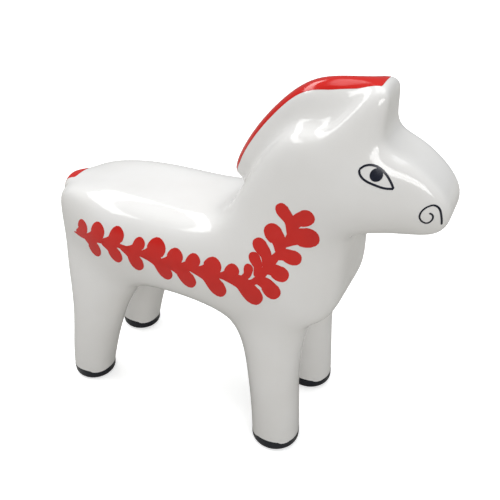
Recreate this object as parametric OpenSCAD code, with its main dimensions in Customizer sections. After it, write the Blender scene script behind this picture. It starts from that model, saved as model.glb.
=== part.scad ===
// Glazed stoneware dala horse: one hollow slip-cast body, dipped black hooves and fired-on colour.
// +X is the way the horse looks, +Y its left side, +Z up; the hooves stand on z = 0.
// The skin is a control net smoothed by Catmull-Clark steps. Sizes stretch the plain stretches
// between the feet, flanks, neck and nose, so hooves, colour and hollow stay in place on it.

/* [Stance] */
// Distance between the hind and the front leg centres
leg_base = 85; // [70:1:104]
// Distance between the left and the right leg centres
leg_track = 36; // [32:1:42]
// Diameter of a front foot
foot_d = 17.8; // [14.8:0.2:21.4]
// Diameter of a hind foot
hind_foot_d = 16.8; // [14:0.2:20.2]
// Height of the belly above the table
belly_height = 55; // [45:1:66]

/* [Body] */
// Height of the flat back above the table
back_height = 87; // [78:1:105]
// Width across the flanks
body_width = 51; // [44:0.5:61.5]
// Height of the mane's top above the table
mane_height = 138; // [124:1:160]
// Thickness of the raised mane
mane_width = 10.4; // [8:0.2:14]
// Length of the head from the eye to the nose
head_length = 28; // [23:0.5:34]
// How far the tail stands proud of the rump
tail_proud = 3.5; // [2:0.1:6]

/* [Casting] */
// Thickness of the cast wall at the flanks and the feet
wall = 4.5; // [3:0.1:5.5]
// Diameter of the firing vent under the belly
vent_d = 5; // [3:0.5:8]

/* [Colour] */
// Thickness of the fired-on colour
paint_t = 0.2; // [0.1:0.05:0.4]
// Height of the black hooves
hoof_height = 4.6; // [2.6:0.1:6]
// Thickness of the black coat round a foot
hoof_coat = 0.6; // [0.3:0.1:1]
// Width of the lines round the eyes
eye_line = 0.6; // [0.4:0.05:1]
// Diameter of a pupil
pupil_d = 3.6; // [3:0.1:4.6]
// Width of the nostril curls
curl_line = 0.5; // [0.4:0.05:1]

/* [Hidden] */

shell_white = "whitesmoke";
coat_black = "#14161f";
paint_red = "#b4312c";

// Sizes the net was drawn at.
drawn_base = 85;
drawn_belly = 55;
drawn_back = 87;
drawn_mane = 138;
drawn_head = 28;

// A plain stretch runs from a to b; only there does a changed size lengthen the horse.
function stretched(v, a, b, extra) = v <= a ? 0 : v >= b ? extra : extra * (v - a) / (b - a);
function at_u(u) = u + stretched(u, 22, 64, leg_base - drawn_base) + stretched(u, 108, 120, head_length - drawn_head);
function at_z(z) = z + stretched(z, 12, 50, belly_height - drawn_belly)
    + stretched(z, 62, 80, back_height - drawn_back - belly_height + drawn_belly)
    + stretched(z, 100, 128, mane_height - drawn_mane - back_height + drawn_back);

leg_a = foot_d / 1.86; // half side of the square net that smooths to a foot of this diameter
hind_a = hind_foot_d / 1.86 + 0.4;
taper = 3; // how much narrower the hind legs' net is under the table
mane_a = mane_width / 1.88;
half_w = body_width / 2;
leg_y = leg_track / 2;
out_y = leg_y + leg_a;
in_y = leg_y - leg_a;
fu = drawn_base;
spine = 8;
tail_a = 4.5;

// Control net: rows from the sole up, each point [u, z, outer y, inner y], u from the hind legs forward.
// A fifth and a sixth number move the point's outer places forward and up.
none = undef;
net = [
    [none, [-hind_a + taper - 3, -25, leg_y + hind_a - taper, leg_y - hind_a + taper],
     [hind_a - taper - 3, -25, leg_y + hind_a - taper, leg_y - hind_a + taper], none,
     [fu - leg_a, -25, out_y, in_y], [fu + leg_a, -25, out_y, in_y], none, none, none],
    [none, [-hind_a, 7, leg_y + hind_a, leg_y - hind_a], [hind_a, 7, leg_y + hind_a, leg_y - hind_a], none,
     [fu - leg_a, 7, out_y, in_y], [fu + leg_a, 7, out_y, in_y], none, none, none],
    [none, [-4, 32, leg_y + 9.6, leg_y - 10], [17.2, 32, leg_y + 9.6, leg_y - 10], none,
     [fu - leg_a - 2.5, 34, out_y, in_y - 0.5], [fu + leg_a - 2.5, 34, out_y, in_y - 0.5], none, none, none],
    [none, [-7, 52, half_w - 1, spine], [28, 55, half_w, spine], [44, 56, half_w - 3, spine],
     [fu - leg_a - 8, 56, half_w, spine], [fu + leg_a, 59, half_w - 1, spine], [99.5, 58, half_w - 8, spine], none, none],
    [[-10.5 - tail_proud, 61, tail_a, tail_a], [-9, 63, half_w - 8.6, spine], [16, 64, half_w, spine], [40, 64, half_w, spine],
     [66, 64, half_w, spine], [91, 66, half_w - 1, spine], [103.5, 66, half_w - 8, spine], none, none],
    [[-12.6 - tail_proud, 72, tail_a, tail_a], [-11, 73, half_w - 11.4, spine], [12, 74, half_w, spine], [37, 74, half_w, spine],
     [64, 74, half_w, spine], [88, 76, half_w - 1, spine], [103.5, 76, half_w - 8, spine], none, none],
    [[-10 - tail_proud, 83, tail_a, tail_a], [-10, 83.5, half_w - 12, spine], [12, 87, half_w - 5, spine], [36, 87, half_w - 5, spine],
     [60, 87, half_w - 4, spine], [84, 88, half_w - 3, spine], [103.5, 87, half_w - 8, spine], none, none],
    [none, none, none, [57, 97, none, mane_a],
     [66, 98, half_w - 7, mane_a + 1], [86, 97, half_w - 5, spine], [104, 94, half_w - 7, spine],
     [118, 96, 14, 6], [130, 96, 10.2, 5]],
    [none, none, none, [63, 112, none, mane_a],
     [73, 112, half_w - 10, mane_a + 1], [90, 109, half_w - 7, spine], [106, 106, half_w - 7, spine],
     [119, 106, 15, 6], [132.5, 104, 11.2, 5]],
    [none, none, none, [72.5, 125, none, mane_a],
     [83, 124, half_w - 12, mane_a + 1], [96, 121, half_w - 10, 7, -5, 1.5], [107.5, 121, 13, 7], [118, 119, 12, 6], [128.5, 110.8, 9, 5]],
    [none, none, none, [82.5, 134, none, mane_a],
     [92, 137, none, mane_a], [102, 138, 9, mane_a, 1, -4], [111, 138, 7, 5], none, none]
];

// Blocks between the net's lines: 0 empty, 1 the middle one, 2 the two outer ones, 3 all three.
blocks = [
    [0, 2, 0, 0, 2, 0, 0, 0],
    [0, 2, 0, 0, 2, 0, 0, 0],
    [0, 2, 0, 0, 2, 0, 0, 0],
    [0, 3, 3, 3, 3, 3, 0, 0],
    [1, 3, 3, 3, 3, 3, 0, 0],
    [1, 3, 3, 3, 3, 3, 0, 0],
    [0, 0, 0, 0, 3, 3, 0, 0],
    [0, 0, 0, 1, 3, 3, 3, 3],
    [0, 0, 0, 1, 3, 3, 3, 3],
    [0, 0, 0, 1, 1, 3, 0, 0]
];
cols = len(blocks[0]);
rows = len(blocks);

start = [for (i = [0 : cols]) [for (k = [0 : rows]) let (p = net[k][i])
    p == undef ? [none, none, none, none] :
    let (u = at_u(p.x), z = at_z(p.y), off = len(p) > 4 ? [p[4], 0, p[5]] : [0, 0, 0])
    [p[2] == undef ? none : [u, -p[2], z] + off, [u, -p[3], z], [u, p[3], z],
     p[2] == undef ? none : [u, p[2], z] + off]]];

function filled(c, r, s, n) =
    let (C = floor(c / n), R = floor(r / n), S = floor(s / n))
    C < 0 || R < 0 || S < 0 || C >= cols || R >= rows || S >= 3 ? false :
    let (kind = blocks[R][C])
    kind == 3 || (S == 1 ? kind == 1 : kind == 2);

// A square is named by its middle in the doubled lattice, where two of its three places are odd.
// The answer is 1 or -1 for a square whose outside faces up or down its axis, else 0.
function facing(a, b, c, n) =
    let (i = floor(a / 2), k = floor(b / 2), j = floor(c / 2),
         here = filled(i, k, j, n),
         back = a % 2 == 0 ? filled(i - 1, k, j, n) : b % 2 == 0 ? filled(i, k - 1, j, n) : filled(i, k, j - 1, n))
    here == back ? 0 : back ? 1 : -1;

function odd(a) = a % 2;
function steps(a) = odd(a) == 1 ? [-1, 1] : [0];
function total(list) = [for (v = list) 1] * list;
function at(m, a, b, c) = a < 0 || b < 0 || c < 0 ? undef : m[a][b][c];
function ring(p, a, b, c) = [for (da = steps(a), db = steps(b), dc = steps(c)) p[(a + da) / 2][(b + db) / 2][(c + dc) / 2]];

sides = [[-1, 0, 0], [1, 0, 0], [0, -1, 0], [0, 1, 0], [0, 0, -1], [0, 0, 1]];
diagonals = [for (d = [-1, 1], e = [-1, 1]) each [[d, e, 0], [d, 0, e], [0, d, e]]];

// One Catmull-Clark step over the whole lattice.
function smoothed(p, n) =
    let (na = 2 * (len(p) - 1), nb = 2 * (len(p[0]) - 1), nc = 2 * (len(p[0][0]) - 1),
         middles = [for (a = [0 : na]) [for (b = [0 : nb]) [for (c = [0 : nc])
             odd(a) + odd(b) + odd(c) == 2 && facing(a, b, c, n) != 0 ? total(ring(p, a, b, c)) / 4 : undef]]])
    [for (a = [0 : na]) [for (b = [0 : nb]) [for (c = [0 : nc])
        let (odds = odd(a) + odd(b) + odd(c))
        odds == 2 ? middles[a][b][c] :
        odds == 1 ? edge_point(p, middles, a, b, c) :
        odds == 0 ? corner_point(p, middles, a, b, c) : undef]]];

function near_middles(middles, a, b, c, offsets) =
    [for (d = offsets) let (m = at(middles, a + d[0], b + d[1], c + d[2])) if (m != undef) m];

function edge_point(p, middles, a, b, c) =
    let (near = near_middles(middles, a, b, c, sides))
    len(near) < 2 ? undef : (total(ring(p, a, b, c)) + total(near)) / (2 + len(near));

function corner_point(p, middles, a, b, c) =
    let (near = near_middles(middles, a, b, c, diagonals), here = p[a / 2][b / 2][c / 2])
    len(near) < 3 ? undef :
    let (n = len(near),
         spokes = [for (d = sides) if (a + d[0] >= 0 && b + d[1] >= 0 && c + d[2] >= 0)
             if (len(near_middles(middles, a + d[0], b + d[1], c + d[2], sides)) >= 2)
             (here + p[a / 2 + d[0]][b / 2 + d[1]][c / 2 + d[2]]) / 2])
    (total(near) / n + 2 * total(spokes) / len(spokes) + (n - 3) * here) / n;

// The same lattice with each point moved outward along its normal.
function grown(p, n, t) =
    [for (i = [0 : len(p) - 1]) [for (k = [0 : len(p[0]) - 1]) [for (j = [0 : len(p[0][0]) - 1])
        p[i][k][j] == undef ? undef :
        let (normals = [for (d = diagonals)
                 let (a = 2 * i + d[0], b = 2 * k + d[1], c = 2 * j + d[2])
                 if (a >= 0 && b >= 0 && c >= 0)
                 let (side = facing(a, b, c, n)) if (side != 0) side * square_normal(p, a, b, c)],
             sum = total(normals))
        p[i][k][j] + t * sum / norm(sum)]]];

function square_normal(p, a, b, c) =
    let (q = ring(p, a, b, c), v = cross(q[3] - q[0], q[2] - q[1]) / norm(cross(q[3] - q[0], q[2] - q[1])))
    odd(b) == 0 ? -v : v;

fineness = 4;
bare = smoothed(smoothed(start, 1), 2);
painted = grown(bare, fineness, paint_t);
lengths = [for (slice = bare, row = slice, q = row) if (q != undef) q.x];
centre_u = (min(lengths) + max(lengths)) / 2;

module skin(p, n) {
    ni = len(p);
    nk = len(p[0]);
    nj = len(p[0][0]);
    function id(i, k, j) = (i * nk + k) * nj + j;
    function turned(f, side) = side > 0 ? f : [f[3], f[2], f[1], f[0]];
    points = [for (slice = p, row = slice, q = row) q == undef ? [0, 0, 0] : q];
    faces = [for (i = [0 : ni - 1], k = [0 : nk - 1], j = [0 : nj - 1]) each [
        let (side = facing(2 * i, 2 * k + 1, 2 * j + 1, n)) if (side != 0)
            turned([id(i, k, j), id(i, k, j + 1), id(i, k + 1, j + 1), id(i, k + 1, j)], -side),
        let (side = facing(2 * i + 1, 2 * k, 2 * j + 1, n)) if (side != 0)
            turned([id(i, k, j), id(i, k, j + 1), id(i + 1, k, j + 1), id(i + 1, k, j)], side),
        let (side = facing(2 * i + 1, 2 * k + 1, 2 * j, n)) if (side != 0)
            turned([id(i, k, j), id(i + 1, k, j), id(i + 1, k + 1, j), id(i, k + 1, j)], side)]];
    translate([-centre_u, 0, 0]) polyhedron(points, faces, convexity = 8);
}

skin_span = 400;
module above(height) {
    translate([-skin_span / 2, -skin_span / 2, height]) cube([skin_span, skin_span, skin_span]);
}

// Feet

hoof_edge = 2.2;
leg_lean = [0.1, -0.25]; // how far the hind and the front feet stand from their net's middle
feet = [for (end = [0, 1], side = [-1, 1])
    [at_u(end * fu) + leg_lean[end] - centre_u, side * leg_y, (end == 0 ? hind_foot_d : foot_d) / 2]];

// A foot is [x, y, radius].
module foot_profile(foot, inset, top, sides = 64) {
    r = foot[2] - inset;
    rotate_extrude($fn = sides)
        union() {
            translate([0, inset]) square([r - hoof_edge, top - inset]);
            translate([0, hoof_edge + inset]) square([r, top - hoof_edge - inset]);
            translate([r - hoof_edge, hoof_edge + inset]) circle(r = hoof_edge, $fn = sides / 2);
        }
}

module hoof(foot) {
    color(coat_black)
        translate([foot.x, foot.y, 0])
            difference() {
                foot_profile(foot, 0, hoof_height);
                foot_profile(foot, hoof_coat, hoof_height + 1);
            }
}

module hoof_rear_right() { hoof(feet[0]); }
module hoof_rear_left() { hoof(feet[1]); }
module hoof_front_right() { hoof(feet[2]); }
module hoof_front_left() { hoof(feet[3]); }

// Hollow cast body

// A ball of the hollow: u, y, z in the drawn net, then its radius.
module ball(u, y, z, r) {
    translate([at_u(u) - centre_u, y, at_z(z)]) sphere(r = r, $fn = 20);
}

trunk_r = 14.5 - wall;
trunk_y = half_w - wall - trunk_r - 1.5; // the smoothed flank lies that far inside its net
module hollow() {
    leg_r = foot_d / 2 - wall;
    hind_r = hind_foot_d / 2 - wall;
    for (side = [-1, 1]) {
        y = side * leg_y;
        knee_y = side * (leg_y - 1);
        hull() { ball(0.5, y, wall + hind_r, hind_r); ball(7, knee_y, 46, hind_r + 0.8); }
        hull() { ball(7, knee_y, 46, hind_r + 0.8); ball(14, side * trunk_y, 71.5, trunk_r); }
        hull() { ball(fu, y, wall + leg_r, leg_r); ball(fu - 3, knee_y, 46, leg_r + 0.6); }
        hull() { ball(fu - 3, knee_y, 46, leg_r + 0.6); ball(fu, side * (trunk_y + 1), 74, trunk_r - 1.5); }
    }
    hull() for (side = [-1, 1]) { ball(5, side * 5, 72, 11 - wall / 2); ball(18, side * trunk_y, 71.5, trunk_r); }
    hull() for (side = [-1, 1], u = [18, fu]) ball(u, side * trunk_y, 72, trunk_r);
    hull() for (side = [-1, 1]) { ball(fu, side * 8, 76, trunk_r); ball(94, side * 4, 108, 13.5 - wall); }
    hull() { ball(96, 0, 110, 14.5 - wall); ball(119, 0, 105, 11 - wall); }
}

module cast_body() {
    vent_at = [at_u(42) - centre_u, 0, at_z(60)];
    color(shell_white)
        difference() {
            union() {
                intersection() {
                    skin(bare, fineness);
                    above(hoof_height);
                }
                for (foot = feet) translate([foot.x, foot.y, 0]) foot_profile(foot, hoof_coat, hoof_height + 1, 36);
            }
            hollow();
            translate(vent_at) cylinder(d = vent_d, h = 2 * wall + 8, center = true, $fn = 48);
        }
}

// Fired-on colour

// The coat is what the drawn shape covers between the bare and the painted skin.
module coat(colour) {
    color(colour)
        difference() {
            intersection() {
                skin(painted, fineness);
                children();
            }
            skin(bare, fineness);
        }
}

// Points here are [u, z] of the side view; a stroke is a chain of them with a diameter each.
function placed(q) = [at_u(q.x) - centre_u, at_z(q.y)];
module dot(q, d) { translate(placed(q)) circle(d = d, $fn = 20); }

module stroke(points, widths) {
    for (i = [0 : len(points) - 2])
        hull() {
            dot(points[i], widths[i]);
            dot(points[i + 1], widths[i + 1]);
        }
}

// Raises a side-view shape through one flank, or through the middle of the horse.
flank_depth = 40;
module on_flank(side) {
    translate([0, side > 0 ? flank_depth : 0, 0]) rotate([90, 0, 0]) linear_extrude(flank_depth) children();
}
module on_spine(width) {
    translate([0, width / 2, 0]) rotate([90, 0, 0]) linear_extrude(width) children();
}

tail_line = [[-13, 61], [-14.4, 64], [-15.4, 67], [-16.1, 70], [-16.4, 73], [-16.1, 76], [-15, 79], [-13.4, 81.5],
             [-11.2, 83.6], [-8, 85]];
mane_line = [[59, 98.5], [60.5, 104], [63.2, 110], [66, 115], [69, 119.5], [72.5, 123.8], [76.5, 127.8],
             [81, 131.3], [86, 134.2], [91.5, 136.2], [97, 137.2], [102, 138], [106.5, 138.2]];
mane_widths = [1, 3.6, 4.4, 5, 5, 5, 5, 5, 5, 4.8, 4.2, 3.4, 2.2];

module tail_band() {
    coat(paint_red)
        on_spine(2 * tail_a)
            stroke(tail_line, [for (q = tail_line) 4.4]);
}

module mane_band() {
    coat(paint_red)
        on_spine(mane_width + 2)
            stroke(mane_line, mane_widths);
}

stem = [[2, 70], [7, 70.5], [12.5, 71.5], [21.5, 73], [30, 73], [38, 72], [46, 71.5], [53.5, 72.5], [60.5, 73],
        [67.5, 73], [75, 73], [79, 75.5], [81.5, 79.5], [84, 84], [86, 88.5], [87.5, 92.5], [88, 98]];
stem_widths = [0.5, 2, 2.4, 2.6, 2.6, 2.6, 2.8, 2.8, 2.8, 2.8, 3, 3, 2.8, 2.6, 2.4, 2.2, 1.4];

// Leaves: root u, root z, bulb u, bulb z, bulb diameter, and the side of the stem they curl from.
leaves = [
    [3.5, 70.5, 7.8, 74.4, 5.4, 1], [9.5, 71.5, 16, 75.9, 6.1, 1], [17.5, 72.5, 24.8, 77, 5.7, 1],
    [28.5, 73, 34.2, 76.3, 4.4, 1], [34, 72.5, 41.2, 76.5, 6.9, 1], [42.5, 72, 48.6, 75.4, 5.8, 1],
    [49.5, 72.3, 55.6, 75.8, 5, 1], [56.5, 73, 62.8, 75.8, 6.3, 1], [64.5, 73, 69.9, 76.1, 4.9, 1],
    [73, 74, 75.4, 78.3, 3.3, 1], [78, 76, 77, 82.4, 4, 1], [81, 79.5, 78.3, 87, 4.9, 1],
    [84.5, 85.5, 82.2, 92, 6.1, 1], [87.5, 92, 84.3, 99.8, 4.4, 1],
    [8, 71, 13.8, 68, 6.2, -1], [17.5, 72, 24, 69, 5.8, -1], [26, 73, 33, 68.6, 5.9, -1],
    [35.5, 72.5, 44.6, 68.3, 5.8, -1], [44.5, 71.5, 53.6, 68, 6.2, -1], [54, 72.5, 64.8, 68.1, 6.6, -1],
    [66, 73, 77.5, 69, 7, -1], [77, 75, 83.8, 72.2, 5.8, -1], [79.5, 78.5, 86, 78.8, 5.4, -1],
    [82.5, 83.5, 89.4, 85, 5.1, -1], [86, 88.5, 93.2, 92.5, 6.8, -1], [88, 93.5, 92, 99, 5.3, -1]
];
leaf_bend = 0.16;
root_width = 1.8;

module leaf(l) {
    root = [l[0], l[1]];
    bulb = [l[2], l[3]];
    along = bulb - root;
    knee = root + 0.55 * along + leaf_bend * l[5] * [along.y, -along.x];
    stroke([root, knee, bulb], [root_width, 0.78 * l[4], l[4]]);
}

module garland(side) {
    coat(paint_red)
        on_flank(side) {
            stroke(stem, stem_widths);
            for (l = leaves) leaf(l);
        }
}

module garland_right() { garland(-1); }
module garland_left() { garland(1); }

upper_lid = [[105.3, 116], [106.6, 117.1], [108.3, 117.5], [110, 117.2], [111.7, 116.3], [113.2, 115], [114.5, 113.4], [115.5, 111.8]];
lower_lid = [[105.3, 116], [105.6, 114.9], [106.4, 113.9], [107.5, 113.2], [108.8, 112.7], [111, 112.1], [113.2, 111.7], [115.5, 111.8]];
pupil_at = [110.2, 115];

module eye_outline(side) {
    coat(coat_black)
        on_flank(side) {
            stroke(upper_lid, [for (q = upper_lid) eye_line]);
            stroke(lower_lid, [for (q = lower_lid) eye_line]);
        }
}

module eye_outline_right() { eye_outline(-1); }
module eye_outline_left() { eye_outline(1); }

// A pupil is brushed on as one round turn of the brush.
module pupil(side) {
    turns = 12;
    coat(coat_black)
        on_flank(side)
            for (i = [1 : turns])
                hull()
                    for (angle = [i, i + 1] * 360 / turns)
                        translate(placed(pupil_at) + pupil_d / 4 * [cos(angle), sin(angle)])
                            circle(d = pupil_d / 2, $fn = 20);
}

module pupil_right() { pupil(-1); }
module pupil_left() { pupil(1); }

curl = [[129.7, 101.8], [129.5, 103.5], [129.1, 105.1], [128.6, 106.4], [127.8, 107.4], [126.6, 107.9], [125.4, 107.5],
        [124.5, 106.8], [123.8, 105.6], [123.7, 104.2], [124.4, 103], [125.6, 102.4], [126.6, 102.8], [127.2, 104],
        [126.9, 105.1], [126, 105.6]];

module nostril_curl(side) {
    coat(coat_black)
        on_flank(side)
            stroke(curl, [for (q = curl) curl_line]);
}

module nostril_curl_right() { nostril_curl(-1); }
module nostril_curl_left() { nostril_curl(1); }

cast_body();
hoof_rear_right();
hoof_rear_left();
hoof_front_right();
hoof_front_left();
tail_band();
mane_band();
garland_right();
garland_left();
eye_outline_right();
eye_outline_left();
pupil_right();
pupil_left();
nostril_curl_right();
nostril_curl_left();
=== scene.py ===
"""Dala horse in glazed stoneware: a slip-cast body, hooves dipped in black, and red and black colour.

Everything is in metres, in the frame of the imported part: the horse looks along +X and stands on z = 0.
"""
import math

import bmesh
import bpy
from mathutils import Matrix, Quaternion, Vector
from mathutils.bvhtree import BVHTree
from mathutils.interpolate import poly_3d_calc


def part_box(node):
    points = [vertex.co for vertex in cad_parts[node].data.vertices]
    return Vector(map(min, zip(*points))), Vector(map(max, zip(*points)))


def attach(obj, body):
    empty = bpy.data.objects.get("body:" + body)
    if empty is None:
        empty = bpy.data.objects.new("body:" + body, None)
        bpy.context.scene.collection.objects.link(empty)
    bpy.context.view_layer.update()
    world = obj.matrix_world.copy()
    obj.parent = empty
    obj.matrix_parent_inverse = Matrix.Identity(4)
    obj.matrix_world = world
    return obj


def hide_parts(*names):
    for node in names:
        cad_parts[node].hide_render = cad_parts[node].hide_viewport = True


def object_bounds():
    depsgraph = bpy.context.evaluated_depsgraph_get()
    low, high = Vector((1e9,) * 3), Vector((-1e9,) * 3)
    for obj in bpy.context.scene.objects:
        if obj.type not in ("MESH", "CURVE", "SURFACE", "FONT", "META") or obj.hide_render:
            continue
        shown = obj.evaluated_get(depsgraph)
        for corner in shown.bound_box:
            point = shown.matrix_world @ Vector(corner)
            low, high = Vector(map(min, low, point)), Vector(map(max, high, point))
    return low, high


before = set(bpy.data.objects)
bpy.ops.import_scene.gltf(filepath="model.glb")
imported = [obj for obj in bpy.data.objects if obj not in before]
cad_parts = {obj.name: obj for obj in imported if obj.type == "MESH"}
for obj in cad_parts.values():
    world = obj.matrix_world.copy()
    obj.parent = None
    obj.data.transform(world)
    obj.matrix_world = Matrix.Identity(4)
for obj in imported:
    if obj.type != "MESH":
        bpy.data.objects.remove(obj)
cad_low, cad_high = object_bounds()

MM = 0.001

# ---------------------------------------------------------------------------------------------
# Cast body. White stoneware slip cast in a two-part plaster mould: one hollow skin with thick
# round legs, a crest along the neck and a low tail rib, all softened by a thick clear glaze.
# It is modelled as a cage of blocks that a subdivision surface rounds, as the casting is.

BASE = 85  # hind to front leg centres, in mm like every size here
HALF_WIDTH = 25.5
SPINE = 8
LEG_Y = 18  # from the middle of the horse to a leg's middle
LEG_HALF = 9.57  # half side of the square that rounds to a front leg
LEG_OUT, LEG_IN = LEG_Y + LEG_HALF, LEG_Y - LEG_HALF
HIND_HALF = 9.43  # the same for a hind leg
HIND_OUT, HIND_IN = LEG_Y + HIND_HALF, LEG_Y - HIND_HALF
TAPER = 3  # how much narrower the hind legs' cage is under the floor
CREST = 5.53  # half thickness of the crest's cage
TAIL = 4.5  # half thickness of the tail rib's

# Rows of the cage from under the feet to the ears. A point is (forward of the hind legs, height,
# outer half width, inner half width), then how far its outer points are moved forward and up;
# _ marks a place that no block uses.
_ = None
CAGE = [
    [_, (-HIND_HALF, -25, HIND_OUT - TAPER, HIND_IN + TAPER),
     (HIND_HALF - 2 * TAPER, -25, HIND_OUT - TAPER, HIND_IN + TAPER), _,
     (BASE - LEG_HALF, -25, LEG_OUT, LEG_IN), (BASE + LEG_HALF, -25, LEG_OUT, LEG_IN), _, _, _],
    [_, (-HIND_HALF, 7, HIND_OUT, HIND_IN), (HIND_HALF, 7, HIND_OUT, HIND_IN), _,
     (BASE - LEG_HALF, 7, LEG_OUT, LEG_IN), (BASE + LEG_HALF, 7, LEG_OUT, LEG_IN), _, _, _],
    [_, (-4, 32, 27.6, 8), (17.2, 32, 27.6, 8), _,
     (BASE - LEG_HALF - 2.5, 34, LEG_OUT, LEG_IN - 0.5),
     (BASE + LEG_HALF - 2.5, 34, LEG_OUT, LEG_IN - 0.5), _, _, _],
    [_, (-7, 52, 24.5, SPINE), (28, 55, HALF_WIDTH, SPINE), (44, 56, 22.5, SPINE),
     (BASE - LEG_HALF - 8, 56, HALF_WIDTH, SPINE), (BASE + LEG_HALF, 59, 24.5, SPINE),
     (99.5, 58, 17.5, SPINE), _, _],
    [(-14, 61, TAIL, TAIL), (-9, 63, 16.9, SPINE), (16, 64, HALF_WIDTH, SPINE), (40, 64, HALF_WIDTH, SPINE),
     (66, 64, HALF_WIDTH, SPINE), (91, 66, 24.5, SPINE), (103.5, 66, 17.5, SPINE), _, _],
    [(-16.1, 72, TAIL, TAIL), (-11, 73, 14.1, SPINE), (12, 74, HALF_WIDTH, SPINE),
     (37, 74, HALF_WIDTH, SPINE), (64, 74, HALF_WIDTH, SPINE), (88, 76, 24.5, SPINE),
     (103.5, 76, 17.5, SPINE), _, _],
    [(-13.5, 83, TAIL, TAIL), (-10, 83.5, 13.5, SPINE), (12, 87, 20.5, SPINE), (36, 87, 20.5, SPINE),
     (60, 87, 21.5, SPINE), (84, 88, 22.5, SPINE), (103.5, 87, 17.5, SPINE), _, _],
    [_, _, _, (57, 97, _, CREST), (66, 98, 18.5, CREST + 1), (86, 97, 20.5, SPINE), (104, 94, 18.5, SPINE),
     (118, 96, 14, 6), (130, 96, 10.2, 5)],
    [_, _, _, (63, 112, _, CREST), (73, 112, 15.5, CREST + 1), (90, 109, 18.5, SPINE),
     (106, 106, 18.5, SPINE), (119, 106, 15, 6), (132.5, 104, 11.2, 5)],
    [_, _, _, (72.5, 125, _, CREST), (83, 124, 13.5, CREST + 1), (96, 121, 15.5, 7, -5, 1.5),
     (107.5, 121, 13, 7), (118, 119, 12, 6), (128.5, 110.8, 9, 5)],
    [_, _, _, (82.5, 134, _, CREST), (92, 137, _, CREST), (102, 138, 9, CREST, 1, -4),
     (111, 138, 7, 5), _, _],
]
# Blocks between those lines: 1 is the middle lane only, 2 the two outer lanes, 3 all three.
BLOCKS = [
    [0, 2, 0, 0, 2, 0, 0, 0],
    [0, 2, 0, 0, 2, 0, 0, 0],
    [0, 2, 0, 0, 2, 0, 0, 0],
    [0, 3, 3, 3, 3, 3, 0, 0],
    [1, 3, 3, 3, 3, 3, 0, 0],
    [1, 3, 3, 3, 3, 3, 0, 0],
    [0, 0, 0, 0, 3, 3, 0, 0],
    [0, 0, 0, 1, 3, 3, 3, 3],
    [0, 0, 0, 1, 3, 3, 3, 3],
    [0, 0, 0, 1, 1, 3, 0, 0],
]
filled = {(c, lane, r) for r, row in enumerate(BLOCKS) for c, kind in enumerate(row) for lane in range(3)
          if kind == 3 or kind == (1 if lane == 1 else 2)}

# The hind hoof of the CAD part fixes where the cage stands along the horse.
LEG_LEAN = 0.1
hind_low, hind_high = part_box("hoof_rear_right")
cage_x = (hind_low.x + hind_high.x) / 2 - LEG_LEAN * MM

cage = bmesh.new()
for c, lane, r in sorted(filled):
    bmesh.ops.create_cube(cage, size=1, matrix=Matrix.Translation((c + 0.5, lane + 0.5, r + 0.5)))
bmesh.ops.remove_doubles(cage, verts=cage.verts, dist=0.01)


def block_beside(face, way):
    """The place in the lattice of the block on one side of a square."""
    return tuple(math.floor(a) for a in face.calc_center_median() + 0.5 * way * face.normal)


hidden = [f for f in cage.faces if block_beside(f, 1) in filled and block_beside(f, -1) in filled]
bmesh.ops.delete(cage, geom=hidden, context="FACES")
for v in cage.verts:
    c, lane, r = (round(a) for a in v.co)
    along, height, outer, inner, *moved = CAGE[r][c]
    across = (-(outer or 0), -inner, inner, outer or 0)[lane]
    v.co = Vector((along, across, height)) * MM
    if moved and lane in (0, 3):
        v.co += Vector((moved[0], 0, moved[1])) * MM
    v.co.x += cage_x
bmesh.ops.recalc_face_normals(cage, faces=cage.faces)


def as_object(name, shape):
    """A bmesh made into an object of that name, smooth shaded; the bmesh is used up."""
    for f in shape.faces:
        f.smooth = True
    mesh = bpy.data.meshes.new(name)
    shape.to_mesh(mesh)
    shape.free()
    piece = bpy.data.objects.new(name, mesh)
    bpy.context.scene.collection.objects.link(piece)
    return piece


caster = as_object("caster", cage)
rounding = caster.modifiers.new("Rounding", "SUBSURF")
rounding.levels = rounding.render_levels = 4
rounded = bpy.data.meshes.new_from_object(caster.evaluated_get(bpy.context.evaluated_depsgraph_get()))
bpy.data.objects.remove(caster)

skin = bmesh.new()
skin.from_mesh(rounded)
skin.normal_update()
skin.faces.ensure_lookup_table()
surface = BVHTree.FromBMesh(skin)
whole_skin = skin.copy()

# The firing vent is a small round hole under the belly that lets steam out of the closed hollow.
VENT_R = 2.5 * MM
VENT_DEEP = 4.5 * MM
VENT_X = cage_x + 42 * MM
BELLY_UNDER = 60 * MM


def from_vent(v):
    return math.hypot(v.co.x - VENT_X, v.co.y)


near_vent = [v for v in skin.verts if v.co.z < BELLY_UNDER and from_vent(v) < VENT_R]
bmesh.ops.delete(skin, geom=near_vent, context="VERTS")
rim = [e for e in skin.edges if e.is_boundary and from_vent(e.verts[0]) < 3 * VENT_R]
for v in {v for e in rim for v in e.verts}:
    spoke = Vector((v.co.x - VENT_X, v.co.y, 0)).normalized() * VENT_R
    v.co.x, v.co.y = VENT_X + spoke.x, spoke.y
# Each ring goes in by a share of the vent's radius and then up by a share of its depth.
for inset, rise in ((0.06, 0.02), (0.12, 0.08), (0.14, 0.2), (0.14, 1)):
    grown = bmesh.ops.extrude_edge_only(skin, edges=rim)["geom"]
    rim = [g for g in grown if isinstance(g, bmesh.types.BMEdge) and g.is_boundary]
    for v in {v for e in rim for v in e.verts}:
        spoke = Vector((v.co.x - VENT_X, v.co.y, 0)).normalized() * VENT_R * (1 - inset)
        v.co = Vector((VENT_X + spoke.x, spoke.y, v.co.z + rise * VENT_DEEP))
bmesh.ops.contextual_create(skin, geom=rim)

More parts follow.
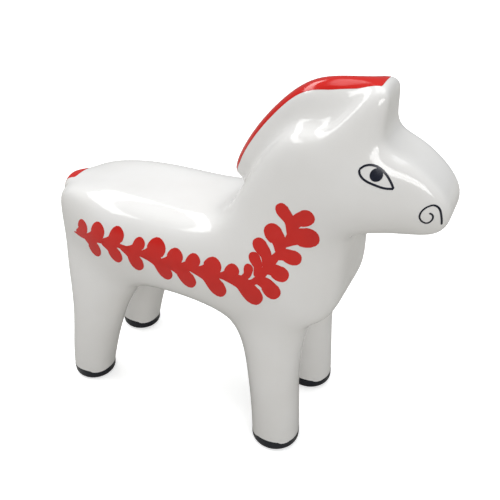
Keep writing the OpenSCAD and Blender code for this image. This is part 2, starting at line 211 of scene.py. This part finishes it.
# The legs are cut off inside the black coat of the hooves and closed.
hoof_top = hind_high.z
LAP = 0.8 * MM  # how far the white leg goes on inside the coat
ON_PLANE = 1e-7
cut = bmesh.ops.bisect_plane(skin, geom=skin.verts[:] + skin.edges[:] + skin.faces[:], dist=ON_PLANE,
                             plane_co=(0, 0, hoof_top - LAP), plane_no=(0, 0, 1), clear_inner=True)
leg_ends = [g for g in cut["geom_cut"] if isinstance(g, bmesh.types.BMEdge)]
bmesh.ops.edgeloop_fill(skin, edges=leg_ends)
bmesh.ops.recalc_face_normals(skin, faces=skin.faces)
body = as_object("cast_body_glazed", skin)
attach(body, "root")
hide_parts("cast_body")


def colour(hex_code, alpha=1.0):
    """An sRGB hex colour as the linear values that a shader takes."""
    parts = [int(hex_code[i:i + 2], 16) / 255 for i in (1, 3, 5)]
    return tuple(p / 12.92 if p <= 0.04045 else ((p + 0.055) / 1.055) ** 2.4 for p in parts) + (alpha,)


def add(material, kind, settings=(), inputs=()):
    """Adds a node with its settings, and its inputs as values or as links from other nodes' outputs."""
    node = material.node_tree.nodes.new(kind)
    for name, value in dict(settings).items():
        setattr(node, name, value)
    for name, value in dict(inputs).items():
        if isinstance(value, bpy.types.NodeSocket):
            material.node_tree.links.new(value, node.inputs[name])
        else:
            node.inputs[name].default_value = value
    return node


WAVE_MM, WAVE_DEEP = 7, 0.05
PIT_DEEP = 0.0015
GLASS_IOR = 1.5


def fired_glaze(name, thin, thick, gloss, flow_mm, pinhole_mm):
    """A fired glaze: its two colours drift where it ran thin or thick, its gloss is uneven by a little,
    and its skin has long shallow waves and a fine pitting."""
    material = bpy.data.materials.new(name)
    material.use_nodes = True
    material.node_tree.nodes.clear()
    place = add(material, "ShaderNodeTexCoord").outputs["Object"]
    pooling = add(material, "ShaderNodeTexNoise", inputs={
        "Vector": place, "Scale": 1 / (flow_mm * MM), "Detail": 3.0, "Roughness": 0.5})
    mix = add(material, "ShaderNodeMix", {"data_type": "RGBA"}, {"Factor": pooling.outputs["Fac"]})
    mix.inputs["A"].default_value = colour(thin)
    mix.inputs["B"].default_value = colour(thick)
    uneven = add(material, "ShaderNodeMapRange", inputs={
        "Value": pooling.outputs["Fac"], "From Min": 0.3, "From Max": 0.7,
        "To Min": gloss[0], "To Max": gloss[1]})
    waves = add(material, "ShaderNodeTexNoise", inputs={
        "Vector": place, "Scale": 1 / (WAVE_MM * MM), "Detail": 1.0, "Roughness": 0.4})
    pits = add(material, "ShaderNodeTexNoise", inputs={
        "Vector": place, "Scale": 1 / (pinhole_mm * MM), "Detail": 2.0, "Roughness": 0.6})
    swell = add(material, "ShaderNodeBump", inputs={
        "Height": waves.outputs["Fac"], "Strength": 1.0, "Distance": WAVE_DEEP * MM})
    skin_bump = add(material, "ShaderNodeBump", inputs={
        "Height": pits.outputs["Fac"], "Strength": 1.0, "Distance": PIT_DEEP * MM,
        "Normal": swell.outputs["Normal"]})
    shader = add(material, "ShaderNodeBsdfPrincipled", inputs={
        "Base Color": mix.outputs["Result"], "Roughness": uneven.outputs["Result"], "IOR": GLASS_IOR,
        "Normal": skin_bump.outputs["Normal"]})
    add(material, "ShaderNodeOutputMaterial", inputs={"Surface": shader.outputs["BSDF"]})
    return material


# White stoneware under a thick clear glaze: nearly neutral white, a touch warmer where the glaze
# pools, with mirror-sharp highlights that waver slightly.
stoneware = fired_glaze("stoneware_clear_glaze", "#EEEDEB", "#E6E4E0", (0.07, 0.12), 18, 0.6)
body.data.materials.clear()
body.data.materials.append(stoneware)

# ---------------------------------------------------------------------------------------------
# Hooves. The foot of each leg is dipped a few millimetres deep in black glaze, which ends in a
# slightly uneven line round the leg and is flat underneath where the horse stands.

COAT = 0.06 * MM
SOLE_EDGE = 2.2 * MM
EDGE_STEPS = 6
OWN_LEG = 15 * MM  # every other leg lies further than this from a hoof's middle
RIM_GAP = 0.12 * MM
dip_glaze = fired_glaze("black_dip_glaze", "#10131B", "#171B26", (0.12, 0.22), 9, 0.5)


def dipped_hoof(node, wave_start):
    """A closed cup of glaze drawn down from the leg's own outline at the hoof line."""
    low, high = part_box(node)
    middle = (low + high) / 2
    hoof = whole_skin.copy()
    bmesh.ops.bisect_plane(hoof, geom=hoof.verts[:] + hoof.edges[:] + hoof.faces[:], dist=ON_PLANE,
                           plane_co=(0, 0, hoof_top - LAP), plane_no=(0, 0, 1),
                           clear_inner=True, clear_outer=True)
    other_legs = [v for v in hoof.verts if math.hypot(v.co.x - middle.x, v.co.y - middle.y) > OWN_LEG]
    bmesh.ops.delete(hoof, geom=other_legs, context="VERTS")
    bmesh.ops.remove_doubles(hoof, verts=hoof.verts, dist=RIM_GAP)
    loop = hoof.edges[:]
    centre = sum((v.co for v in hoof.verts), Vector()) / len(hoof.verts)
    leg_r = sum((v.co - centre).length for v in hoof.verts) / len(hoof.verts)

    def drawn_to(edges, radius, height, wave=0.0):
        """Extrudes the rim and moves the new one to a radius and a height, wavering round the leg."""
        new = bmesh.ops.extrude_edge_only(hoof, edges=edges)["geom"]
        rim = [g for g in new if isinstance(g, bmesh.types.BMEdge)
               and not any(v in old for v in g.verts)]
        for v in {v for e in rim for v in e.verts}:
            turn = math.atan2(v.co.y - centre.y, v.co.x - centre.x) + wave_start
            out = Vector((v.co.x - centre.x, v.co.y - centre.y, 0))
            spot = centre + out * (radius / out.length)
            saddle = -4 * math.cos(2 * (turn - wave_start))
            waver = 0.8 * math.sin(turn) + saddle + 0.4 * math.sin(5 * turn + 2)
            v.co = Vector((spot.x, spot.y, height + wave * waver))
        old.update(v for e in rim for v in e.verts)
        return rim

    old = set(hoof.verts)
    for v in hoof.verts:
        out = Vector((v.co.x - centre.x, v.co.y - centre.y, 0))
        v.co += out.normalized() * COAT
    outside = leg_r + COAT
    up = loop
    # Radius, millimetres below the hoof line, and wave of each ring, from the outside over the lip.
    for radius, below_top, wave in ((outside, 0.25, 0.09), (outside - 0.02 * MM, 0.08, 0.1),
                                    (leg_r - 0.3 * MM, 0, 0.1), (leg_r - 1.5 * MM, 1.5, 0)):
        up = drawn_to(up, radius, hoof_top - below_top * MM, wave * MM)
    bmesh.ops.edgeloop_fill(hoof, edges=up)
    down = drawn_to(loop, outside, SOLE_EDGE)
    for step in range(1, EDGE_STEPS + 1):
        a = step / EDGE_STEPS * math.pi / 2
        down = drawn_to(down, outside - SOLE_EDGE * (1 - math.cos(a)), SOLE_EDGE * (1 - math.sin(a)))
    down = drawn_to(down, leg_r * 0.5, 0)
    bmesh.ops.edgeloop_fill(hoof, edges=down)
    bmesh.ops.recalc_face_normals(hoof, faces=hoof.faces)
    piece = as_object(node + "_dip", hoof)
    piece.data.materials.append(dip_glaze)
    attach(piece, "root")
    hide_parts(node)


for turn, node in enumerate(("hoof_rear_right", "hoof_rear_left", "hoof_front_right", "hoof_front_left")):
    dipped_hoof(node, 1.7 * turn)

# ---------------------------------------------------------------------------------------------
# Garlands. A folk-art leaf spray in red enamel along each flank and up the neck: one stem drawn
# with a soft brush, and a comma-shaped press of the brush for each leaf, fired on over the glaze.

ENAMEL = 0.07 * MM
SPLINE_STEPS = 24
SAME_PLACE = 1e-6


def curve_through(points, count):
    """Points along a smooth curve through the given ones, evenly spaced, each (x, z, width)."""
    ends = [2 * points[0] - points[1]] + points + [2 * points[-1] - points[-2]]
    fine = []
    for a, b, c, d in zip(ends, ends[1:], ends[2:], ends[3:]):
        for i in range(SPLINE_STEPS):
            t = i / SPLINE_STEPS
            fine.append(0.5 * (2 * b + (c - a) * t + (2 * a - 5 * b + 4 * c - d) * t ** 2
                               + (3 * b - a - 3 * c + d) * t ** 3))
    fine.append(points[-1])
    gone = [0.0]
    for a, b in zip(fine, fine[1:]):
        gone.append(gone[-1] + (b.xy - a.xy).length)
    total = gone[-1]
    first, last = fine[0].z / 2, fine[-1].z / 2
    caps = 5
    stations = [first * (1 - math.cos(i / caps * math.pi / 2)) for i in range(caps)]
    middle = [first + (total - first - last) * i / (count - 2 * caps) for i in range(count - 2 * caps + 1)]
    stations += middle + [total - last * (1 - math.sin(i / caps * math.pi / 2)) for i in range(1, caps + 1)]
    out = []
    for s in stations:
        k = max(i for i, g in enumerate(gone) if g <= s + 1e-12)
        k = min(k, len(fine) - 2)
        t = (s - gone[k]) / max(gone[k + 1] - gone[k], 1e-9)
        p = fine[k].lerp(fine[k + 1], min(max(t, 0), 1))
        round_first = math.sqrt(max(0, 1 - (1 - s / first) ** 2)) if s < first else 1
        round_last = math.sqrt(max(0, 1 - (1 - (total - s) / last) ** 2)) if total - s < last else 1
        heading = (fine[k + 1].xy - fine[k].xy).normalized()
        out.append((p.xy, heading, p.z / 2 * round_first * round_last))
    return out


def brush(sheet, points, across=6, step_mm=0.7):
    """Lays one stroke into a flat sheet in side view: a grid bent along its path, round at both ends."""
    points = [Vector(p) for p in points]
    length = sum((b.xy - a.xy).length for a, b in zip(points, points[1:]))
    count = max(14, round(length / step_mm) + 10)
    stations = curve_through(points, count)
    grid = bmesh.ops.create_grid(sheet, x_segments=len(stations) - 1, y_segments=across, size=1)["verts"]
    for v in grid:
        spot, heading, half = stations[round((v.co.x + 1) / 2 * (len(stations) - 1))]
        side = Vector((-heading.y, heading.x))
        p = spot + side * half * v.co.y
        v.co = Vector((p.x * MM + cage_x, 0, p.y * MM))
    bmesh.ops.remove_doubles(sheet, verts=grid, dist=SAME_PLACE)


def glaze_normal(spot, index):
    """The body's smooth normal at a point on one of its squares."""
    corners = whole_skin.faces[index].verts
    weights = poly_3d_calc([v.co for v in corners], spot)
    return sum((v.normal * w for v, w in zip(corners, weights)), Vector()).normalized()


whole_skin.faces.ensure_lookup_table()
whole_skin.normal_update()


def on_glaze(spot):
    """The nearest point of the body's glaze and its smooth normal there."""
    hit, flat, index, gap = surface.find_nearest(spot)
    return hit, glaze_normal(hit, index)


OUTSIDE = 60 * MM
NEAR_SPINE = 5 * MM


def on_flank(v, side):
    """Where a side-view point lands on the right (-1) or the left (1) flank."""
    start = Vector((v.co.x, side * OUTSIDE, v.co.z))
    hit, flat, index, gap = surface.ray_cast(start, Vector((0, -side, 0)))
    if hit is None:
        return on_glaze(Vector((v.co.x, side * NEAR_SPINE, v.co.z)))
    return hit, glaze_normal(hit, index)


SUNK = 1.6  # thickness of a colour with the part that lies under the glaze, against what stands proud


def enamelled(name, sheet, places, node, material, thick=ENAMEL):
    """Fires a flat sheet of colour on to the body: lays it on the glaze, gives it its thickness and
    lets it take the curve of the body, so a highlight runs over its edge unbroken."""
    for v in sheet.verts:
        spot, normal = places(v)
        v.co = spot + normal * thick
    sheet.normal_update()
    flipped = [f for f in sheet.faces if f.calc_area() > 0
               and f.normal.dot(on_glaze(f.calc_center_median())[1]) < 0]
    bmesh.ops.reverse_faces(sheet, faces=flipped)
    bmesh.ops.solidify(sheet, geom=sheet.faces[:], thickness=thick * SUNK)
    piece = as_object(name, sheet)
    piece.data.normals_split_custom_set_from_vertices([on_glaze(v.co)[1] for v in piece.data.vertices])
    piece.data.materials.append(material)
    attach(piece, "root")
    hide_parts(node)


STEM = [(2, 70), (7, 70.5), (12.5, 71.5), (21.5, 73), (30, 73), (38, 72), (46, 71.5), (53.5, 72.5),
        (60.5, 73), (67.5, 73), (75, 73), (79, 75.5), (81.5, 79.5), (84, 84), (86, 88.5), (87.5, 92.5),
        (88, 98)]
STEM_WIDTHS = [0.5, 1.6, 1.8, 1.8, 1.8, 1.8, 1.9, 2, 2, 2, 2.2, 2.2, 2.2, 2.2, 2, 1.8, 1.2]
# Leaves: (root along, root height, bulb along, bulb height, bulb width, side of the stem).
LEAVES = [
    (3.5, 70.5, 7.8, 74.4, 5.4, 1), (9.5, 71.5, 16, 75.9, 6.1, 1), (17.5, 72.5, 24.8, 77, 5.7, 1),
    (28.5, 73, 34.2, 76.3, 4.4, 1), (34, 72.5, 41.2, 76.5, 6.9, 1), (42.5, 72, 48.6, 75.4, 5.8, 1),
    (49.5, 72.3, 55.6, 75.8, 5, 1), (56.5, 73, 62.8, 75.8, 6.3, 1), (64.5, 73, 69.9, 76.1, 4.9, 1),
    (73, 74, 75.4, 78.3, 3.3, 1), (78, 76, 77, 82.4, 4, 1), (81, 79.5, 78.3, 87, 4.9, 1),
    (84.5, 85.5, 82.2, 92, 6.1, 1), (87.5, 92, 84.3, 99.8, 4.4, 1),
    (8, 71, 13.8, 68, 6.2, -1), (17.5, 72, 24, 69, 5.8, -1), (26, 73, 33, 68.6, 5.9, -1),
    (35.5, 72.5, 44.6, 68.3, 5.8, -1), (44.5, 71.5, 53.6, 68, 6.2, -1), (54, 72.5, 64.8, 68.1, 6.6, -1),
    (66, 73, 77.5, 69, 7, -1), (77, 75, 83.8, 72.2, 5.8, -1), (79.5, 78.5, 86, 78.8, 5.4, -1),
    (82.5, 83.5, 89.4, 85, 5.1, -1), (86, 88.5, 93.2, 92.5, 6.8, -1), (88, 93.5, 92, 99, 5.3, -1),
]
LEAF_BEND = 0.16
LEAF_ROOT = 1.6
KNEE_ALONG, KNEE_WIDE = 0.55, 0.78  # where a leaf bends, and how wide it is there against its bulb

# Red overglaze enamel: a warm folk-art red that fires on slightly thin, so it is a little lighter
# where the brush dragged, and as glossy as the glaze under it.
enamel_red = fired_glaze("red_overglaze_enamel", "#D9261E", "#C91E17", (0.10, 0.16), 5, 0.4)

for side, node in ((-1, "garland_right"), (1, "garland_left")):
    sheet = bmesh.new()
    brush(sheet, [(u, z, w) for (u, z), w in zip(STEM, STEM_WIDTHS)])
    for root_u, root_z, bulb_u, bulb_z, width, way in LEAVES:
        root, bulb = Vector((root_u, root_z)), Vector((bulb_u, bulb_z))
        along = bulb - root
        knee = root + KNEE_ALONG * along + LEAF_BEND * way * Vector((along.y, -along.x))
        tip = bulb + along.normalized() * width / 2
        brush(sheet, [(root.x, root.y, LEAF_ROOT), (knee.x, knee.y, KNEE_WIDE * width),
                      (bulb.x, bulb.y, width), (tip.x, tip.y, width)], across=8, step_mm=0.6)
    enamelled(node + "_enamel", sheet, lambda v, side=side: on_flank(v, side), node, enamel_red)

# ---------------------------------------------------------------------------------------------
# Mane and tail. One broad red stroke along the top of the crest from the withers to the ears, and a
# short one down the tail rib; each wraps over its ridge and ends a little way down both sides.

ROUND_END = 0.07  # share of a band's length over which its end closes in
BAND_STEPS = 60
HALVINGS = 14
WIDEST = math.radians(100)


def ridge_band(name, node, ridge, depth_mm, widths, reach_mm, across=14):
    """A band of enamel over a rounded ridge: rays from a line inside the ridge lay it on the glaze.
    Its edges lie a given depth below the ridge in side view, but no further out than its reach, which
    closes in over a short stretch at each end."""
    stations = curve_through([Vector((u, z, w)) for (u, z), w in zip(ridge, widths)], BAND_STEPS)
    sheet = bmesh.new()
    grid = bmesh.ops.create_grid(sheet, x_segments=len(stations) - 1, y_segments=across, size=1)["verts"]
    rays = []
    for k, (spot, heading, half) in enumerate(stations):
        out = Vector((-heading.y, 0, heading.x))
        top = Vector((spot.x * MM + cage_x, 0, spot.y * MM))
        axis = top - out * depth_mm * MM

        def landed(angle, axis=axis, out=out):
            way = (out * math.cos(angle) + Vector((0, 1, 0)) * math.sin(angle)).normalized()
            return surface.ray_cast(axis, way)[0]

        crown = landed(0)
        height = (crown - axis).dot(out) - 2 * half * MM
        along = k / (len(stations) - 1)
        near_end = min(1, along / ROUND_END, (1 - along) / ROUND_END)
        reach = reach_mm * MM * math.sqrt(1 - (1 - near_end) ** 2)
        low_angle, high_angle = 0.0, WIDEST
        for _halving in range(HALVINGS):
            angle = (low_angle + high_angle) / 2
            hit = landed(angle)
            if hit is not None and (hit - axis).dot(out) > height and abs(hit.y) < reach:
                low_angle = angle
            else:
                high_angle = angle
        rays.append((landed, low_angle))
    for v in grid:
        k = round((v.co.x + 1) / 2 * (len(stations) - 1))
        landed, limit = rays[k]
        v.co = landed(limit * v.co.y)
    bmesh.ops.remove_doubles(sheet, verts=grid, dist=SAME_PLACE)
    enamelled(name, sheet, lambda v: on_glaze(v.co), node, enamel_red)


MANE = [(59, 98.5), (60.5, 104), (63.2, 110), (66, 115), (69, 119.5), (72.5, 123.8), (76.5, 127.8),
        (81, 131.3), (86, 134.2), (91.5, 136.2), (97, 137.2), (102, 138), (106.5, 138.2)]
MANE_WIDTHS = [1, 1.8, 2.2, 2.5, 2.5, 2.5, 2.5, 2.5, 2.5, 2.4, 2.1, 1.6, 0.9]
ridge_band("mane_enamel", "mane_band", MANE, 5, MANE_WIDTHS, 4.6)

TAIL_LINE = [(-13, 61), (-14.4, 64), (-15.4, 67), (-16.1, 70), (-16.4, 73), (-16.1, 76), (-15, 79),
             (-13.4, 81.5), (-11.2, 83.6), (-8, 85)]
ridge_band("tail_enamel", "tail_band", TAIL_LINE, 4, [2.2] * len(TAIL_LINE), 4.4)

# ---------------------------------------------------------------------------------------------
# Eyes and nostrils. Thin blue-black lines drawn with a fine brush: two lids that meet in sharp
# corners, a round pupil that hangs from the upper lid, and a curl for each nostril.

LINE = 0.62
UPPER_LID = [(105.3, 116), (106.6, 117.1), (108.3, 117.5), (110, 117.2), (111.7, 116.3), (113.2, 115),
             (114.5, 113.4), (115.5, 111.8)]
LOWER_LID = [(105.3, 116), (105.6, 114.9), (106.4, 113.9), (107.5, 113.2), (108.8, 112.7), (111, 112.1),
             (113.2, 111.7), (115.5, 111.8)]
PUPIL = (110.2, 115)
PUPIL_R = 1.8
PUPIL_RINGS, RING_WIDE = 4, 0.4
PUPIL_THICK = 1.3  # against the lids, which it overlaps
CURL_THIN = 0.8  # width of the nostril line against the lids'
CURL = [(129.7, 101.8), (129.5, 103.5), (129.1, 105.1), (128.6, 106.4), (127.8, 107.4), (126.6, 107.9),
        (125.4, 107.5), (124.5, 106.8), (123.8, 105.6), (123.7, 104.2), (124.4, 103), (125.6, 102.4),
        (126.6, 102.8), (127.2, 104), (126.9, 105.1), (126, 105.6)]

# Blue-black overglaze line colour: nearly black, with a cold blue cast where it is thin.
line_black = fired_glaze("blue_black_line_enamel", "#10131F", "#181D30", (0.16, 0.26), 2, 0.4)

for side, end in ((-1, "right"), (1, "left")):
    lids = bmesh.new()
    for lid in (UPPER_LID, LOWER_LID):
        brush(lids, [(u, z, LINE) for u, z in lid], across=4, step_mm=0.4)
    enamelled("eye_line_" + end, lids, lambda v, side=side: on_flank(v, side), "eye_outline_" + end,
              line_black)

    pupil = bmesh.new()
    bmesh.ops.create_circle(pupil, cap_ends=True, segments=40, radius=PUPIL_R * MM)
    for ring in range(PUPIL_RINGS):
        centre_face = max(pupil.faces, key=lambda f: len(f.verts))
        bmesh.ops.inset_region(pupil, faces=[centre_face], thickness=RING_WIDE * MM)
    for v in pupil.verts:
        v.co = Vector((v.co.x + PUPIL[0] * MM + cage_x, 0, v.co.y + PUPIL[1] * MM))
    enamelled("pupil_spot_" + end, pupil, lambda v, side=side: on_flank(v, side), "pupil_" + end,
              line_black, thick=ENAMEL * PUPIL_THICK)

    curl = bmesh.new()
    brush(curl, [(u, z, LINE * CURL_THIN) for u, z in CURL], across=4, step_mm=0.3)
    enamelled("nostril_line_" + end, curl, lambda v, side=side: on_flank(v, side), "nostril_curl_" + end,
              line_black)

# ---------------------------------------------------------------------------------------------
# Studio: a plain white sweep under two window-like softboxes and a soft overhead light.

FLOOR_HALF = 4
floor_shape = bmesh.new()
bmesh.ops.create_grid(floor_shape, x_segments=8, y_segments=8, size=FLOOR_HALF)
floor = as_object("studio_floor", floor_shape)
floor_paper = bpy.data.materials.new("matt_white_paper")
floor_paper.use_nodes = True
floor_paper.node_tree.nodes.clear()
paper_place = add(floor_paper, "ShaderNodeTexCoord").outputs["Object"]
paper_grain = add(floor_paper, "ShaderNodeTexNoise", inputs={"Vector": paper_place, "Scale": 1 / (2 * MM)})
paper_bump = add(floor_paper, "ShaderNodeBump", inputs={
    "Height": paper_grain.outputs["Fac"], "Strength": 0.2, "Distance": 0.05 * MM})
card = add(floor_paper, "ShaderNodeBsdfDiffuse", inputs={
    "Color": colour("#ACAAA5"), "Normal": paper_bump.outputs["Normal"]})
lit_card = add(floor_paper, "ShaderNodeBsdfPrincipled", inputs={
    "Base Color": colour("#F4F4F3"), "Roughness": 0.9, "Specular IOR Level": 0.0,
    "Emission Color": (1, 1, 1, 1), "Emission Strength": 0.5, "Normal": paper_bump.outputs["Normal"]})
seen = add(floor_paper, "ShaderNodeLightPath").outputs["Is Camera Ray"]
paper = add(floor_paper, "ShaderNodeMixShader", inputs={"Fac": seen})
floor_paper.node_tree.links.new(card.outputs["BSDF"], paper.inputs[1])
floor_paper.node_tree.links.new(lit_card.outputs["BSDF"], paper.inputs[2])
add(floor_paper, "ShaderNodeOutputMaterial", inputs={"Surface": paper.outputs["Shader"]})
floor.data.materials.append(floor_paper)

world = bpy.data.worlds.new("studio_air")
world.use_nodes = True
world.node_tree.nodes["Background"].inputs["Color"].default_value = colour("#F4F6FA")
world.node_tree.nodes["Background"].inputs["Strength"].default_value = 0.23
bpy.context.scene.world = world
bpy.context.scene.view_settings.view_transform = "Standard"

middle = (cad_low + cad_high) / 2


def softbox(name, azimuth, elevation, half_wide, half_high, radiance, tint):
    """A rectangular softbox aimed at the horse, as wide and high as the angles it fills when seen from
    there; azimuth runs from +X towards +Y."""
    a, e = math.radians(azimuth), math.radians(elevation)
    lamp = bpy.data.lights.new(name, "AREA")
    lamp.shape = "RECTANGLE"
    lamp.size = 2 * SOFTBOX_AWAY * math.tan(math.radians(half_wide))
    lamp.size_y = 2 * SOFTBOX_AWAY * math.tan(math.radians(half_high))
    lamp.energy, lamp.color = radiance * math.pi * lamp.size * lamp.size_y, tint
    box = bpy.data.objects.new(name, lamp)
    away = Vector((math.cos(a) * math.cos(e), math.sin(a) * math.cos(e), math.sin(e)))
    box.location = middle + away * SOFTBOX_AWAY
    box.rotation_euler = (-away).to_track_quat("-Z", "Y").to_euler()
    box.visible_camera = False
    bpy.context.scene.collection.objects.link(box)


SOFTBOX_AWAY = 2.5
softbox("window_behind", 178, 44, 37, 6.5, 5, (1, 1, 1))
softbox("window_ahead", -50, 29, 21, 7, 7, (1, 1, 1))
softbox("overhead", 90, 80, 28, 28, 2.1, (0.96, 0.98, 1))

# The camera looks down on the horse's right side from ahead, turned by a hair about its own axis.
lens = bpy.data.cameras.new("camera")
lens.sensor_width = 36
lens.lens = 47.08
camera = bpy.data.objects.new("camera", lens)
camera.location = Vector((90.54, -178.3, 198.0)) * MM
aim = Vector((6.44, 0, 68.2)) * MM - camera.location
camera.rotation_mode = "QUATERNION"
camera.rotation_quaternion = aim.to_track_quat("-Z", "Y") @ Quaternion((0, 0, 1), math.radians(0.57))
lens.clip_start, lens.clip_end = 0.01, 20
bpy.context.scene.collection.objects.link(camera)
bpy.context.scene.camera = camera
